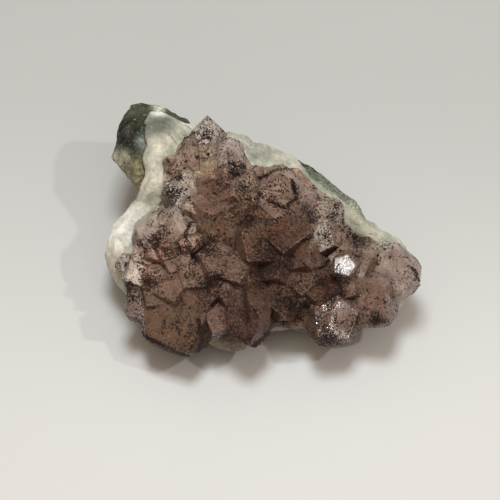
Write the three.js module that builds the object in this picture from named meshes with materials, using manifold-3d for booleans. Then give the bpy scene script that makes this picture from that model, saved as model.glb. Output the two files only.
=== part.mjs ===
// Amethyst cluster, a hand specimen: a crust of amethyst crystals on milky quartz, on a
// broken piece of the dark basalt that it grew in. Millimetres, +Z up. It lies on a small
// flat spot of the basalt, with its crystal face looking up and forward (-Y).
import * as THREE from 'three';
import { ConvexGeometry } from 'three/addons/geometries/ConvexGeometry.js';
import { ImprovedNoise } from 'three/addons/math/ImprovedNoise.js';
import { mergeVertices } from 'three/addons/utils/BufferGeometryUtils.js';
import Module from 'manifold-3d';

const wasm = await Module();
wasm.setup();

// Driving dimensions
const FACE_TILT = 40 * Math.PI / 180;       // the crystal face leans back from level by this much
const FACE_HEIGHT = 28;                     // height of the middle of the face over the ground
const FACE_SLOPE = 0.3;                     // how much the face falls away towards its upper rim
const FACE_DOME = 6;                        // how much the face falls away towards its rim
const FACE_HALF = [43, 36];                 // half the width and half the height of the face
const QUARTZ_DEPTH = 5.2;                   // top of the quartz below the face, under the crystals
const BASALT_DEPTH = 13;                    // top of the basalt below the face
const CRUST = 2.4;                          // thickness of the crust that the crystals rise from
const ROOT = 8;                             // depth of the crystals' roots below the face
const FRONT_CLEARANCE = 5;                  // from the ground up to the front rim
const ROOM = 0.4;                           // clearance between neighbouring minerals
const PYRAMID_ANGLE = 51.8 * Math.PI / 180; // from a crystal's axis to the normal of a tip face
const FOOT_CENTRE = [-3, 4];                // middle of the flat spot, on the ground
const FOOT_HALF = [20, 14];                 // half its width and half its depth
const EDGE_STEP = 3.7;                      // spacing of the points along the rims

// Crystals. Places are in the plane of the face: at is the middle of the crystal's end, across
// and up from the middle of the face. half is the distance from the axis to a corner, rise is
// the height of the end over the face, lean is the angle between the axis and the face's
// outward direction, and toward is the direction of that lean (0 right, 90 up). big is how
// much the largest tip face takes of the end. It looks back from the lean, and turn rotates
// the crystal about its axis from there.
const CRYSTALS = {
  topPoint: { at: [-14.9, 31.4], half: 5.1, rise: 9.4, lean: 66, toward: 92, turn: 0, big: 0 },
  upperLeft: { at: [-18.4, 21.1], half: 7.8, rise: 4.2, lean: 30, toward: 100, turn: 4, big: 0.55 },
  upperMiddle: { at: [-8.9, 22.4], half: 5.8, rise: 4.5, lean: 32, toward: 72, turn: -8, big: 0.55 },
  smallPale: { at: [-25.4, 19.4], half: 2.9, rise: 2.2, lean: 28, toward: 130, turn: 10, big: 0.3 },
  leftShoulder: { at: [-23, 10.8], half: 7.5, rise: 3.4, lean: 26, toward: 165, turn: 6, big: 0.4 },
  lavenderLeft: { at: [-30.8, 0], half: 7, rise: 3, lean: 30, toward: 150, turn: 20, big: 0.5 },
  pinkLeft: { at: [-23, -0.3], half: 6.3, rise: 4.2, lean: 14, toward: 330, turn: 24, big: 0.25 },
  leftBeadA: { at: [-28.1, -3], half: 3.4, rise: 4.4, lean: 18, toward: 200, turn: 25, big: 0.2 },
  leftBeadB: { at: [-26.2, -6.5], half: 3.4, rise: 4, lean: 20, toward: 240, turn: 10, big: 0.3 },
  leftBeadC: { at: [-30.2, -6.5], half: 3.4, rise: 3.6, lean: 26, toward: 215, turn: 0, big: 0.2 },
  leftLump: { at: [-34, -7], half: 4.1, rise: 2.8, lean: 30, toward: 190, turn: 30, big: 0.2 },
  brownLeft: { at: [-23.8, -9.2], half: 4.9, rise: 3, lean: 24, toward: 250, turn: 0, big: 0.4 },
  rimBead: { at: [-38.9, -8.9], half: 3.2, rise: 2.4, lean: 36, toward: 180, turn: 15, big: 0.2 },
  rimLump: { at: [-35.4, -12.4], half: 4.9, rise: 3, lean: 32, toward: 205, turn: 5, big: 0.3 },
  darkLump: { at: [-30, -13.2], half: 4.1, rise: 2.6, lean: 26, toward: 235, turn: 30, big: 0.3 },
  lowerLeftFacet: { at: [-34, -20.5], half: 5.2, rise: 4, lean: 34, toward: 214, turn: 0, big: 0.6 },
  lowerLeft: { at: [-20.8, -27.4], half: 10.8, rise: 4.8, lean: 36, toward: 288, turn: 14, big: 0.5 },
  lavenderLower: { at: [-14.9, -17.8], half: 6.1, rise: 3.6, lean: 22, toward: 285, turn: -12, big: 0.4 },
  smallLower: { at: [-12.7, -25.7], half: 4.9, rise: 5, lean: 26, toward: 240, turn: 8, big: 0.2 },
  bottomPoint: { at: [-3.7, -29], half: 7, rise: 7.4, lean: 46, toward: 270, turn: 30, big: 0.12 },
  largeMiddleLeft: { at: [-13.5, 4.9], half: 10.2, rise: 6.2, lean: 8, toward: 120, turn: 150, big: 0 },
  tanMiddle: { at: [-4.9, 4.3], half: 6.6, rise: 3.8, lean: 24, toward: 75, turn: 0, big: 0.35 },
  largeUpperRight: { at: [5.1, 11.9], half: 9, rise: 4.2, lean: 30, toward: 86, turn: 6, big: 0.5 },
  pinkUnder: { at: [4.1, 5.4], half: 5.8, rise: 3, lean: 20, toward: 268, turn: 0, big: 0.4 },
  lavenderUpperRight: { at: [12.7, 8.6], half: 5.5, rise: 3.6, lean: 30, toward: 45, turn: 14, big: 0.4 },
  tanUpperRight: { at: [18.6, 6.2], half: 5.2, rise: 3.8, lean: 32, toward: 50, turn: -6, big: 0.5 },
  darkMiddle: { at: [5.9, -2.2], half: 8.3, rise: 4.6, lean: 24, toward: 262, turn: 6, big: 0.5 },
  tanCentre: { at: [-1.6, -5.1], half: 7.3, rise: 5, lean: 26, toward: 240, turn: -10, big: 0.5 },
  darkCentre: { at: [3.5, -11.1], half: 7.5, rise: 3.8, lean: 16, toward: 285, turn: 30, big: 0.2 },
  paleRight: { at: [17.8, -2.7], half: 6.3, rise: 4, lean: 18, toward: 318, turn: 20, big: 0.3 },
  brightFacet: { at: [20.2, -9.9], half: 3.5, rise: 8.8, lean: 32.8, toward: 216, turn: 0, big: 0.45 },
  curvedRight: { at: [26.4, -8.6], half: 7.2, rise: 5, lean: 24, toward: 10, turn: 12, big: 0.4 },
  farRight: { at: [38, -11.4], half: 8.3, rise: 4.8, lean: 30, toward: 354, turn: 0, big: 0.5 },
  lowerRight: { at: [30.6, -22.2], half: 8.4, rise: 5.6, lean: 34, toward: 306, turn: 20, big: 0.4 },
  roundLower: { at: [16.4, -26.4], half: 7.3, rise: 6, lean: 33, toward: 228, turn: 0, big: 0.3 },
  lowMiddle: { at: [6.2, -20], half: 6.1, rise: 3.6, lean: 28, toward: 272, turn: 0, big: 0.5 },
  smallTip: { at: [-1.4, 17.8], half: 1.9, rise: 4.5, lean: 40, toward: 96, turn: 10, big: 0 },
  darkUpper: { at: [-9.2, 15.1], half: 5.8, rise: 3.4, lean: 20, toward: 110, turn: 8, big: 0.3 },
  upperCentre: { at: [-3.5, 13], half: 5.5, rise: 3.8, lean: 26, toward: 70, turn: 0, big: 0.4 },
  orangeUpper: { at: [-15.7, 14], half: 5.2, rise: 3.6, lean: 18, toward: 120, turn: 20, big: 0.1 },
  middleLowerLeft: { at: [-13.5, -10.5], half: 6.6, rise: 3.6, lean: 14, toward: 238, turn: 8, big: 0.2 },
  brownLowerLeft: { at: [-24.4, -14.6], half: 7.2, rise: 4, lean: 16, toward: 262, turn: 30, big: 0.7 },
  lowerCentre: { at: [-6.5, -12.4], half: 5.8, rise: 4.4, lean: 20, toward: 275, turn: 20, big: 0.2 },
  lowerRightCentre: { at: [15.4, -17.4], half: 6.2, rise: 4.6, lean: 22, toward: 250, turn: 20, big: 0.3 },
  rightCentre: { at: [11.6, -8.4], half: 6.3, rise: 5, lean: 10, toward: 290, turn: 30, big: 0.1 },
  greyRight: { at: [19.6, 2.8], half: 4.4, rise: 3, lean: 26, toward: 35, turn: 10, big: 0.4 },
  lowRightMiddle: { at: [10.5, -15.4], half: 5.5, rise: 3.6, lean: 22, toward: 250, turn: 24, big: 0.3 },
  aboveBottomPoint: { at: [-7.6, -19.7], half: 5.5, rise: 3.6, lean: 24, toward: 255, turn: 0, big: 0.4 },
  speckled: { at: [-19.6, -13.4], half: 5.2, rise: 4.6, lean: 18, toward: 225, turn: 10, big: 0.4 },
  rightMiddle: { at: [23.6, -15.9], half: 6.1, rise: 4.8, lean: 28, toward: 322, turn: 12, big: 0.3 },
  innerWedge: { at: [0.3, 2.7], half: 4.1, rise: 4, lean: 8, toward: 0, turn: 12, big: 0.1 },
  innerRightWedge: { at: [12.4, 1.1], half: 4.9, rise: 3.6, lean: 14, toward: 30, turn: 0, big: 0.3 },
  leftFoot: { at: [-29.9, -18.6], half: 4.8, rise: 4.4, lean: 30, toward: 225, turn: 12, big: 0.3 },
  upperGap: { at: [-8.1, 9.5], half: 4.6, rise: 3.8, lean: 12, toward: 80, turn: 0, big: 0.1 },
  leftGap: { at: [-20, 6.5], half: 4.1, rise: 3.4, lean: 20, toward: 180, turn: 30, big: 0.2 },
};

// Small crystals that fill the ground between the large ones
const FILL = { rows: 7, columns: 9, half: [1.7, 3.1], rise: [1, 3.2] };

// Edge of the crystal crust, seen from the front of the face
const CRUST_EDGE = [
  [-21.6, 26.5], [-13.5, 27], [-6.5, 25], [-3, 18.5], [3, 17.5], [9.8, 17.6], [15.6, 11.6],
  [20, 8.4], [21.8, 3.8], [25.6, -0.6], [30.5, -5], [38, -4.6], [40, -12], [37.5, -18], [34, -23],
  [24, -26], [14, -27.5], [4, -25.5], [-2, -28.5], [-12, -28], [-22, -30], [-32, -26.5],
  [-36, -19], [-37.8, -11.5], [-33.5, -7], [-34, 3], [-27.5, 8.5], [-27, 18], [-23.4, 20],
];

// Edge of the milky quartz
const QUARTZ_EDGE = [
  [-20.2, 29.2], [-16.7, 29.4], [-11.9, 27.4], [-7, 26.8], [-5.4, 26.7], [-4.1, 25.9],
  [-3.2, 24.6], [0, 24], [2.4, 23.2], [4.9, 22], [8.4, 20.4], [11, 17.8], [13, 15],
  [17.8, 10.8], [23.2, 7.2], [27.4, 3.2], [30.5, 2.1], [31.9, 0.2], [34.6, -1.1],
  [37.3, -2.4], [38.9, -4.2], [40.2, -9], [40, -15], [39.2, -18.4], [37.4, -20.6],
  [34.4, -21.2], [29, -22.4], [23, -24], [15.8, -26], [10.3, -25.2], [5.4, -26.2],
  [2, -26.4], [-3.2, -28], [-5, -31.2], [-8.6, -32], [-12.7, -31], [-17, -27.6],
  [-25, -26.2], [-31.4, -23.4], [-35, -19.6], [-38.2, -15.4], [-41, -11.6], [-42.1, -8.9],
  [-42.5, -6.2], [-42.1, -3.2], [-41.2, 0.2], [-39.6, 2.9], [-37, 5.7], [-34.6, 8.6],
  [-33.2, 11.2], [-32.6, 13], [-31.6, 15.2], [-32.2, 18.4], [-33, 24.8], [-33, 29.4],
  [-31, 33.2], [-28, 33.2], [-25.4, 31.8], [-22.6, 30.4],
];

// Edge of the basalt layer behind the quartz
const BASALT_EDGE = [
  [-33, 28], [-30, 31], [-22, 30.2], [-14, 27.2], [-6, 25], [0, 22.8], [7.6, 20.8],
  [10.3, 20.1], [14.3, 18], [16.2, 16.5], [18.4, 14.5], [21.1, 12], [23.8, 10.1],
  [25.9, 8.4], [27.5, 6.2], [28.9, 3], [31.4, -3.5], [34.6, -10.3], [34.8, -17],
  [31.6, -22], [23.8, -24.6], [13, -25.6], [2.2, -25.4], [-7.3, -28.4], [-16.7, -28.6],
  [-26.2, -26.6], [-32.6, -22.6], [-36.2, -17], [-38.8, -11], [-39.8, -5.6], [-38.8, 0],
  [-36.6, 4.6], [-33.8, 8.6], [-33.6, 14], [-34.4, 22],
];

// The angular basalt block at the upper left: corners as [across, up, depth below the face]
const BLOCK = [
  [-37.8, 33.8, 5], [-37, 35.8, 7], [-34.2, 36.7, 8], [-30.6, 36, 8], [-27.9, 35.2, 7],
  [-26, 33.3, 6], [-20.6, 30.6, 6], [-38.8, 32.9, 6], [-40.9, 26.8, 6.5], [-42, 21.1, 6.5],
  [-41.6, 20.3, 7], [-38.6, 18, 5], [-35.4, 13.2, 4.5], [-33.3, 10.9, 5.5],
  [-34.8, 29, 1.4], [-34.6, 22, 0.9], [-35.2, 16.6, 2.2], [-37.6, 27.4, 2.6], [-38.4, 21.6, 3.2],
  [-31.9, 29, 3.4], [-31.6, 22, 3.2], [-31.7, 15.4, 4.6], [-25, 27, 8], [-26, 18, 9],
  [-40.4, 24, 15], [-36.2, 33, 18], [-28, 33, 20], [-21.4, 27.4, 18], [-34, 12, 14], [-38, 19, 14],
];

const noise = new ImprovedNoise();

function random(seed) {
  const wave = Math.sin(seed * 127.1 + 311.7) * 43758.5453;
  return wave - Math.floor(wave);
}

// Height of the crystal face's middle surface over its own plane
function faceLevel(x, v) {
  const out = (x / FACE_HALF[0]) ** 2 + (v / FACE_HALF[1]) ** 2;
  return -FACE_SLOPE * v - FACE_DOME * out;
}

// Depth of the ground under the face's plane
function groundLevel(v) {
  return -(FACE_HEIGHT + v * Math.sin(FACE_TILT)) / Math.cos(FACE_TILT);
}

// From 0 where the value is at start to 1 where it is at end, which may be the lower of the two
function smoothStep(start, end, value) {
  const t = THREE.MathUtils.clamp((value - start) / (end - start), 0, 1);
  return t * t * (3 - 2 * t);
}

// Top of the quartz: deep under the crystals, and standing higher as a pale shoulder at the
// upper left and along the left, upper and right rims, where no crystals cover it
function quartzLevel(x, v) {
  const upperLeft = smoothStep(-22, -28, x) * smoothStep(6, 14, v);
  const left = smoothStep(-33, -38, x) * smoothStep(-14, -6, v);
  const upper = smoothStep(19, 25, v + 0.35 * x + 1) * smoothStep(24, 10, x);
  const right = smoothStep(17, 23, v + 0.8 * x) * smoothStep(14, 19, x) * smoothStep(35, 31, x);
  const shoulder = Math.max(upperLeft, 0.7 * left, 0.75 * upper, 0.6 * right);
  const lumps = 0.9 * noise.noise(x * 0.16, v * 0.16, 3.1) + 0.5 * noise.noise(x * 0.4, v * 0.4, 7.7);
  return faceLevel(x, v) - QUARTZ_DEPTH + 4 * shoulder + lumps;
}

function crustLevel(x, v) {
  return Math.max(faceLevel(x, v) - QUARTZ_DEPTH, quartzLevel(x, v)) + CRUST;
}

function basaltLevel(x, v) {
  const strip = smoothStep(4, 16, x) * smoothStep(8, 16, v + 0.55 * x);
  const lumps = 0.8 * noise.noise(x * 0.2, v * 0.2, 1.7);
  const level = faceLevel(x, v) - BASALT_DEPTH + 5.5 * strip + lumps;
  return Math.max(level, groundLevel(v) + FRONT_CLEARANCE + 2);
}

function quartzBackLevel(x, v) {
  return Math.max(basaltLevel(x, v) - 2, groundLevel(v) + FRONT_CLEARANCE);
}

// From the plane of the face (across, up, out) to the standing specimen
function fromFace(x, v, w) {
  const cos = Math.cos(FACE_TILT);
  const sin = Math.sin(FACE_TILT);
  return new THREE.Vector3(x, v * cos - w * sin, v * sin + w * cos + FACE_HEIGHT);
}

// A closed outline, resampled at even steps along each of its sides
function resample(edge) {
  const points = [];
  edge.forEach(([x0, v0], i) => {
    const [x1, v1] = edge[(i + 1) % edge.length];
    const steps = Math.max(1, Math.round(Math.hypot(x1 - x0, v1 - v0) / EDGE_STEP));
    for (let k = 0; k < steps; k += 1) {
      points.push([x0 + (x1 - x0) * k / steps, v0 + (v1 - v0) * k / steps]);
    }
  });
  const area = points.reduce((sum, [x, v], i) => {
    const [x1, v1] = points[(i + 1) % points.length];
    return sum + x * v1 - x1 * v;
  }, 0);
  return area < 0 ? points.reverse() : points;
}

function toSolid(geometry) {
  geometry.deleteAttribute('normal');
  geometry.deleteAttribute('uv');
  const merged = mergeVertices(geometry, 1e-4);
  const mesh = new wasm.Mesh({
    numProp: 3,
    vertProperties: new Float32Array(merged.attributes.position.array),
    triVerts: new Uint32Array(merged.index.array),
  });
  return new wasm.Manifold(mesh);
}

function toGeometry(solid) {
  const mesh = solid.getMesh();
  const geometry = new THREE.BufferGeometry();
  geometry.setAttribute('position', new THREE.BufferAttribute(mesh.vertProperties, 3));
  geometry.setIndex(new THREE.BufferAttribute(mesh.triVerts, 1));
  return geometry;
}

// A closed surface from rings of points, with a middle point at each end. The rings turn
// anticlockwise seen from the first end.
function ringGeometry(first, rings, last) {
  const count = rings[0].length;
  const points = [first, ...rings.flat(), last];
  const index = [];
  const at = (ring, i) => 1 + ring * count + i % count;
  for (let i = 0; i < count; i += 1) {
    index.push(0, at(0, i), at(0, i + 1));
    for (let ring = 0; ring + 1 < rings.length; ring += 1) {
      index.push(at(ring, i), at(ring + 1, i), at(ring + 1, i + 1));
      index.push(at(ring, i), at(ring + 1, i + 1), at(ring, i + 1));
    }
    index.push(at(rings.length - 1, i), points.length - 1, at(rings.length - 1, i + 1));
  }
  const geometry = new THREE.BufferGeometry().setFromPoints(points);
  geometry.setIndex(index);
  return geometry;
}

// A layer on the face: its top follows one level, and its back another, inside an edge
function layer(edge, topLevel, backLevel) {
  const rim = resample(edge);
  const middle = rim.reduce(([a, b], [x, v]) => [a + x / rim.length, b + v / rim.length], [0, 0]);
  const ring = (share, level, extra) => rim.map(([x, v]) => {
    const px = middle[0] + (x - middle[0]) * share;
    const pv = middle[1] + (v - middle[1]) * share;
    return fromFace(px, pv, level(px, pv) + extra);
  });
  const rings = [0.45, 0.7, 0.84, 0.94].map((share) => ring(share, topLevel, 0));
  rings.push(ring(1, topLevel, -1.2));
  rings.push(ring(0.99, backLevel, 1.5));
  rings.push(...[0.85, 0.5].map((share) => ring(share, backLevel, 0)));
  return ringGeometry(
    fromFace(...middle, topLevel(...middle)), rings, fromFace(...middle, backLevel(...middle)),
  );
}

// The convex body inside a set of planes, each [normal, distance]
function convexInside(planes) {
  const corners = [];
  const inside = (p) => planes.every(([n, d]) => n.dot(p) < d + 1e-6);
  for (let i = 0; i < planes.length; i += 1) {
    for (let j = i + 1; j < planes.length; j += 1) {
      for (let k = j + 1; k < planes.length; k += 1) {
        const [a, b, c] = [planes[i][0], planes[j][0], planes[k][0]];
        const bc = new THREE.Vector3().crossVectors(b, c);
        const whole = a.dot(bc);
        if (Math.abs(whole) > 1e-6) {
          const p = bc.multiplyScalar(planes[i][1]);
          p.addScaledVector(new THREE.Vector3().crossVectors(c, a), planes[j][1]);
          p.addScaledVector(new THREE.Vector3().crossVectors(a, b), planes[k][1]);
          p.divideScalar(whole);
          if (inside(p) && corners.every((q) => q.distanceTo(p) > 0.02)) {
            corners.push(p);
          }
        }
      }
    }
  }
  return new ConvexGeometry(corners);
}

// One quartz crystal: six prism faces, and a tip of three large and three small faces, all
// a little unequal as in nature
function crystal({ at, half, rise, lean, toward, turn, big }, seed) {
  const [tilt, way] = [lean * Math.PI / 180, toward * Math.PI / 180];
  const apothem = half * Math.cos(Math.PI / 6);
  const planes = [[new THREE.Vector3(0, 0, -1), (rise + ROOT) / Math.cos(tilt) + 1.2 * big * apothem]];
  for (let i = 0; i < 6; i += 1) {
    const angle = (toward + 180 + turn + 60 * i) * Math.PI / 180;
    const [c, s] = [Math.cos(angle), Math.sin(angle)];
    const side = Math.sin(PYRAMID_ANGLE);
    const uneven = random(seed * 13 + i);
    const small = i % 2 === 0 ? 0.12 * uneven : 0.2 + 0.3 * uneven;
    const reach = i === 0 ? -big : small;
    planes.push([new THREE.Vector3(c, s, 0), apothem * (0.92 + 0.16 * uneven)]);
    planes.push([new THREE.Vector3(c * side, s * side, Math.cos(PYRAMID_ANGLE)), apothem * reach * side]);
  }
  const geometry = convexInside(planes);
  const axis = new THREE.Vector3(
    Math.sin(tilt) * Math.cos(way), Math.sin(tilt) * Math.sin(way), Math.cos(tilt),
  );
  geometry.applyQuaternion(new THREE.Quaternion().setFromUnitVectors(new THREE.Vector3(0, 0, 1), axis));
  const tip = axis.multiplyScalar(big * apothem * Math.tan(PYRAMID_ANGLE));
  geometry.translate(at[0] + tip.x, at[1] + tip.y, faceLevel(...at) + rise + tip.z);
  geometry.rotateX(FACE_TILT);
  geometry.translate(0, 0, FACE_HEIGHT);
  return toSolid(geometry);
}

function insideEdge(edge, x, v) {
  let inside = false;
  edge.forEach(([x0, v0], i) => {
    const [x1, v1] = edge[(i + 1) % edge.length];
    if ((v0 > v) !== (v1 > v) && x < x0 + (x1 - x0) * (v - v0) / (v1 - v0)) {
      inside = !inside;
    }
  });
  return inside;
}

// Small crystals on a jittered grid over the crust, leaning out from its middle
function fillCrystals() {
  const found = [];
  for (let row = 0; row < FILL.rows; row += 1) {
    for (let column = 0; column < FILL.columns; column += 1) {
      const seed = 500 + row * FILL.columns + column;
      const x = FACE_HALF[0] * (2 * (column + random(seed)) / FILL.columns - 1);
      const v = FACE_HALF[1] * (2 * (row + random(seed + 0.3)) / FILL.rows - 1);
      if (insideEdge(CRUST_EDGE, x * 1.06, v * 1.06)) {
        found.push({
          at: [x, v],
          half: THREE.MathUtils.lerp(...FILL.half, random(seed + 0.5)),
          rise: THREE.MathUtils.lerp(...FILL.rise, random(seed + 0.7)),
          lean: 12 + 34 * Math.hypot(x / FACE_HALF[0], v / FACE_HALF[1]),
          toward: Math.atan2(v, x) * 180 / Math.PI + 50 * (random(seed + 0.9) - 0.5),
          turn: 60 * random(seed + 0.1),
          big: 0.5 * random(seed + 0.2),
        });
      }
    }
  }
  return found;
}

// The basalt: its front lies under the quartz, and its side runs from the rim in and down to
// the flat spot, in blunt fracture faces
function basaltBody() {
  const rim = resample(BASALT_EDGE);
  const [fx, fy] = FOOT_CENTRE;
  const front = (share) => rim.map(([x, v]) => (
    fromFace(x * share, v * share, basaltLevel(x * share, v * share))
  ));
  const rings = [0.45, 0.8, 1].map(front);
  const edge = rings[rings.length - 1];
  const foot = edge.map((p) => {
    const way = Math.atan2((p.y - fy) / FOOT_HALF[1], (p.x - fx) / FOOT_HALF[0]);
    const reach = 1 + 0.16 * noise.noise(3 * Math.cos(way), 3 * Math.sin(way), 0.5);
    return new THREE.Vector3(
      fx + FOOT_HALF[0] * reach * Math.cos(way), fy + FOOT_HALF[1] * reach * Math.sin(way), 0,
    );
  });
  for (const share of [0.15, 0.34, 0.54, 0.73, 0.9]) {
    rings.push(edge.map((p, i) => {
      const belly = new THREE.Vector3().lerpVectors(p, foot[i], 0.08);
      belly.z = p.z * 0.3;
      const a = new THREE.Vector3().lerpVectors(p, belly, share);
      const side = a.lerp(belly.lerp(foot[i], share), share);
      const out = new THREE.Vector3(side.x - fx, side.y - fy, 4).normalize();
      const facets = Math.abs(noise.noise(side.x * 0.09, side.y * 0.09, side.z * 0.09 + 4)) * 5;
      const grain = noise.noise(side.x * 0.35, side.y * 0.35, side.z * 0.35);
      side.addScaledVector(out, Math.sin(Math.PI * share) * (1.2 - facets + 0.7 * grain));
      side.z = Math.max(side.z, 0.4);
      return side;
    }));
  }
  rings.push(foot);
  rings.push(foot.map((p) => new THREE.Vector3(fx + (p.x - fx) / 2, fy + (p.y - fy) / 2, 0)));
  return ringGeometry(fromFace(0, 0, basaltLevel(0, 0)), rings, new THREE.Vector3(fx, fy, 0));
}

function basaltBlock() {
  return new ConvexGeometry(BLOCK.map(([x, v, depth]) => fromFace(x, v, faceLevel(x, v) - depth)));
}

const joined = (solids) => solids.reduce((whole, solid) => whole.add(solid));

// The space that a body needs, with room on every side: copies of it moved a little each way
function withRoom(geometry) {
  const ways = [[0, 0, 0], [1, 0, 0], [-1, 0, 0], [0, 1, 0], [0, -1, 0], [0, 0, 1], [0, 0, -1]];
  return joined(ways.map((way) => (
    toSolid(geometry.clone().translate(...way.map((step) => step * ROOM)))
  )));
}

const basalt = toSolid(basaltBody()).add(toSolid(basaltBlock()));
const basaltRoom = withRoom(basaltBody()).add(withRoom(basaltBlock()));
const quartz = toSolid(layer(QUARTZ_EDGE, quartzLevel, quartzBackLevel)).subtract(basaltRoom);
const quartzRoom = withRoom(layer(QUARTZ_EDGE, quartzLevel, (x, v) => basaltLevel(x, v) - 16));
const crust = layer(CRUST_EDGE, crustLevel, (x, v) => quartzLevel(x, v) - CRUST);
const crystals = [...Object.values(CRYSTALS), ...fillCrystals()].map(crystal);
const amethyst = joined([toSolid(crust), ...crystals]).subtract(quartzRoom.add(basaltRoom));

const group = new THREE.Group();

function addNode(name, solid, color, roughness) {
  const material = new THREE.MeshStandardMaterial({ color, roughness, metalness: 0, flatShading: true });
  const mesh = new THREE.Mesh(toGeometry(solid), material);
  mesh.name = name;
  group.add(mesh);
}

addNode('amethyst_crystals', amethyst, 0x7a6470, 0.12);
addNode('quartz_matrix', quartz, 0xc9c7b4, 0.45);
addNode('basalt_rind', basalt, 0x4b5048, 0.85);

// The origin lies on the ground under the middle of the whole
const box = new THREE.Box3().setFromObject(group);
group.position.set(-(box.min.x + box.max.x) / 2, -(box.min.y + box.max.y) / 2, -box.min.z);

export default group;
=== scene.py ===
"""A cluster of smoky amethyst crystals on milky quartz, with a rind of dark basalt behind it.

All lengths are in metres unless a name ends in mm. Places on the crystal face are given in
millimetres, (across, up), from the middle of the face as it is seen square on.
"""

import math

import bpy
import numpy as np
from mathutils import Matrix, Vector


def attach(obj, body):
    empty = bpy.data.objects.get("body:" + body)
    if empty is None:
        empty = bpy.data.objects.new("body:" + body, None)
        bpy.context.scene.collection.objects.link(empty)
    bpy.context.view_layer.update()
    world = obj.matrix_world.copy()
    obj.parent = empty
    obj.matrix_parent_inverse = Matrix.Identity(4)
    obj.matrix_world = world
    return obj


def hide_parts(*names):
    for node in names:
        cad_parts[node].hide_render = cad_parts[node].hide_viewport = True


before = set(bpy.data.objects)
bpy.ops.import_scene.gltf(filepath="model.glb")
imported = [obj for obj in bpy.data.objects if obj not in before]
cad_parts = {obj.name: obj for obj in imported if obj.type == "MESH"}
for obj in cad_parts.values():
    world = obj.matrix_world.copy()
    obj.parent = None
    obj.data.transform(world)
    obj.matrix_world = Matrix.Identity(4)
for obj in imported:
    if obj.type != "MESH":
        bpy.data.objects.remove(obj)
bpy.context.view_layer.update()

MM = 0.001
FACE_MIDDLE = np.array([-0.0004, -0.00914, 0.028])
FACE_TILT = math.radians(40)
ACROSS = np.array([1.0, 0.0, 0.0])
UP = np.array([0.0, math.cos(FACE_TILT), math.sin(FACE_TILT)])
OUT = np.array([0.0, -math.sin(FACE_TILT), math.cos(FACE_TILT)])
SKEW = np.array([[0.36, 0.48, -0.8], [-0.8, 0.6, 0.0], [0.48, 0.64, 0.6]])

# Colours of the crystals as they show in daylight, each part from 0 to 255: (across, up, reach, colour).
# Besides the crystals' own colours they hold painted shade, darker low on the face, and a painted highlight
# on the pale bright facet.
CRYSTAL_TINTS = {
    "top point": (-15, 29, 4.5, (175, 150, 131)),
    "upper left crystal": (-19.5, 20, 5, (132, 108, 94)),
    "orange patch": (-15.5, 18, 2.4, (196, 138, 102)),
    "pink upper face": (-9, 23, 4.2, (164, 133, 120)),
    "speckled left": (-23.5, 10, 4.5, (187, 152, 130)),
    "pink left": (-21.5, 4.5, 3, (155, 126, 111)),
    "lavender left face": (-30.5, 0.5, 4, (134, 119, 107)),
    "pink edge": (-20, -2, 2.6, (166, 129, 111)),
    "small facet by the pink edge": (-20, -3.4, 1.2, (96, 76, 66)),
    "left cluster": (-28, -3.5, 3, (125, 89, 76)),
    "left lumps": (-36.5, -9.5, 3.6, (191, 144, 124)),
    "brown left": (-26, -10, 3.5, (115, 90, 78)),
    "middle left top": (-14, 8, 4.5, (94, 73, 62)),
    "middle left foot": (-17, -0.5, 3, (127, 104, 85)),
    "tan middle": (-5, 4.5, 4, (100, 77, 61)),
    "dark middle": (-3.5, 2.5, 2, (72, 54, 46)),
    "upper centre": (-4.5, 14, 3.5, (149, 119, 103)),
    "upper right crystal": (5, 12.5, 5, (133, 108, 94)),
    "lavender upper right": (13, 8.5, 3, (122, 102, 95)),
    "under the upper right crystal": (3, 6.4, 1.8, (92, 74, 66)),
    "tan upper right": (18.5, 6.5, 3, (154, 130, 113)),
    "dark right centre": (6, -2, 3.5, (58, 42, 36)),
    "tan centre": (0, -4, 3.5, (69, 51, 42)),
    "dark centre": (3.5, -10.5, 4.5, (74, 54, 46)),
    "pale slab": (16.5, -0.5, 2, (153, 132, 116)),
    # Painted highlight: the bright facet is tinted pale in place of the lamp's reflection.
    "bright facet": (22.5, -9.5, 1.9, (218, 191, 174)),
    "curved right": (28, -7, 4, (101, 84, 73)),
    "far right": (37.5, -10, 5, (140, 118, 107)),
    "pale foot of the far right": (31.5, -3.2, 2.6, (168, 161, 143)),
    "under the bright facet": (23.5, -14.3, 1.8, (98, 79, 69)),
    "left of the bright facet": (18.6, -6.4, 1.6, (64, 49, 41)),
    "lower right": (30, -21, 4.5, (96, 77, 67)),
    "round lower": (16, -26.5, 4.5, (83, 67, 58)),
    "lower centre": (6, -20, 4, (67, 50, 41)),
    "bottom point": (-4, -23, 4.5, (58, 41, 35)),
    "small tip": (-12.5, -25, 3, (86, 67, 59)),
    "lavender band": (-15, -18, 3, (68, 50, 45)),
    "lower left crystal": (-23.5, -23.5, 4.5, (81, 63, 51)),
    # Painted shade: the lower corner is tinted near black where the crystal turns down towards the floor.
    "lower corner": (-19.5, -31, 3.6, (36, 21, 16)),
    "lavender lower left": (-34.5, -20, 3.2, (85, 68, 61)),
    "lower middle right": (18.5, -16, 3.5, (58, 42, 36)),
}
PLAIN_TINT = (95, 76, 65)
CRYSTAL_LIFT = np.array([3.28, 3.54, 3.86])

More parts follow.
